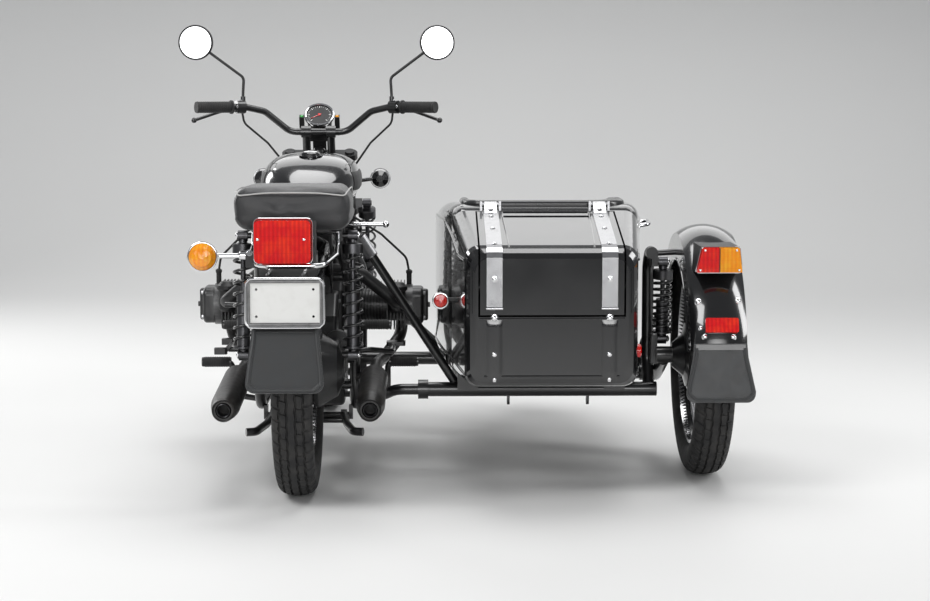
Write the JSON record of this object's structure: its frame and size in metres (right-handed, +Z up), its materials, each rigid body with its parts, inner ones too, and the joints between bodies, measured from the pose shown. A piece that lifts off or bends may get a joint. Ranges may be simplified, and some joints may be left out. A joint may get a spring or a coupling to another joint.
{
  "type": "motorcycle with sidecar",
  "caption": "Flat-twin touring motorcycle with a boat-shaped passenger sidecar on its right, a long bench, spoked wheels, steering fork, hinged boot lid and centre stand.",
  "frame": {"origin": "on the floor below the middle of the outfit's bounding box", "axes": "+X to the right, towards the sidecar; +Y forwards, along the motorcycle; +Z up"},
  "size_m": [1.6836, 2.2613, 1.309],
  "materials": {
    "black_gloss": "gloss",
    "black_paint": "satin",
    "exhaust_black": "matt",
    "alloy": "satin",
    "wheel_alloy": "satin",
    "steel": "satin",
    "spring_steel": "satin",
    "disc_steel": "ground",
    "chrome": "polished",
    "black_plastic": "fine grain",
    "black_rubber": "matt",
    "tyre": "matt",
    "black_vinyl": "grained vinyl",
    "white_plate": "satin",
    "red_lens": "gloss",
    "amber_lens": "gloss",
    "clear_glass": "clear",
    "mirror": "polished"
  },
  "bodies": {
    "chassis": {"frame": "black_paint", "engine_case": "alloy", "gearbox": "alloy", "cylinders": "alloy", "rocker_covers": "alloy", "intake": "alloy", "spark_leads": "black_rubber", "exhaust_pipes": "exhaust_black", "mufflers": "exhaust_black", "swing_arm": "black_paint", "final_drive": "alloy", "dampers": "steel", "springs": "spring_steel", "rear_fender": "black_gloss", "sidecar_fender": "black_gloss", "mud_flaps": "black_rubber", "fuel_tank": "black_gloss", "bench_seat": "black_vinyl", "sidecar_body": "black_gloss", "cockpit_roll": "black_vinyl", "sidecar_cushion": "black_vinyl", "sidecar_backrest": "black_vinyl", "lid_hinges": "steel", "sidecar_frame": "steel", "sidecar_struts": "steel", "trailing_arm": "black_paint", "bright_tubes": "chrome", "number_plate": "white_plate", "plate_holder": "black_plastic", "lamp_housings": "black_plastic", "red_lenses": "red_lens", "amber_lenses": "amber_lens", "foot_gear": "steel", "battery_box": "black_paint"},
    "steering": {"fork": "black_paint", "fork_links": "black_paint", "front_caliper": "alloy", "front_dampers": "steel", "front_springs": "spring_steel", "front_fender": "black_gloss", "handlebar": "chrome", "grips": "black_rubber", "hand_controls": "black_plastic", "mirrors": "black_plastic", "mirror_glass": "mirror", "front_lamps": "black_gloss", "headlamp_lens": "clear_glass", "gauge": "black_plastic", "front_turn_lenses": "amber_lens", "control_cables": "black_rubber"},
    "front_wheel_set": {"front_tyre": "tyre", "front_wheel": "wheel_alloy", "front_disc": "disc_steel"},
    "rear_wheel_set": {"rear_tyre": "tyre", "rear_wheel": "wheel_alloy"},
    "sidecar_wheel_set": {"sidecar_tyre": "tyre", "sidecar_wheel": "wheel_alloy"},
    "lid": {"boot_lid": "black_gloss", "lid_straps": "steel"},
    "stand": {"centre_stand": "black_paint"}
  },
  "joints": [
    {"name": "steering_turn", "type": "hinge", "parent": "chassis", "child": "steering", "pos_m": [-0.405, 0.434, 0.87], "axis": [0, -0.4384, 0.8988], "range_deg": [-35, 35]},
    {"name": "front_wheel_spin", "type": "hinge", "parent": "steering", "child": "front_wheel_set", "pos_m": [-0.405, 0.788, 0.345], "axis": [1, 0, 0], "continuous": true},
    {"name": "rear_wheel_spin", "type": "hinge", "parent": "chassis", "child": "rear_wheel_set", "pos_m": [-0.405, -0.712, 0.345], "axis": [1, 0, 0], "continuous": true},
    {"name": "sidecar_wheel_spin", "type": "hinge", "parent": "chassis", "child": "sidecar_wheel_set", "pos_m": [0.743, -0.432, 0.345], "axis": [1, 0, 0], "continuous": true},
    {"name": "lid_turn", "type": "hinge", "parent": "chassis", "child": "lid", "pos_m": [0.28, -0.536, 0.78777], "axis": [-1, 0, 0], "range_deg": [0, 75]},
    {"name": "stand_turn", "type": "hinge", "parent": "chassis", "child": "stand", "pos_m": [-0.405, -0.274, 0.146], "axis": [1, 0, 0], "range_deg": [0, 95], "stiffness_Nm_per_rad": 3, "springref_deg": -68.75}
  ]
}
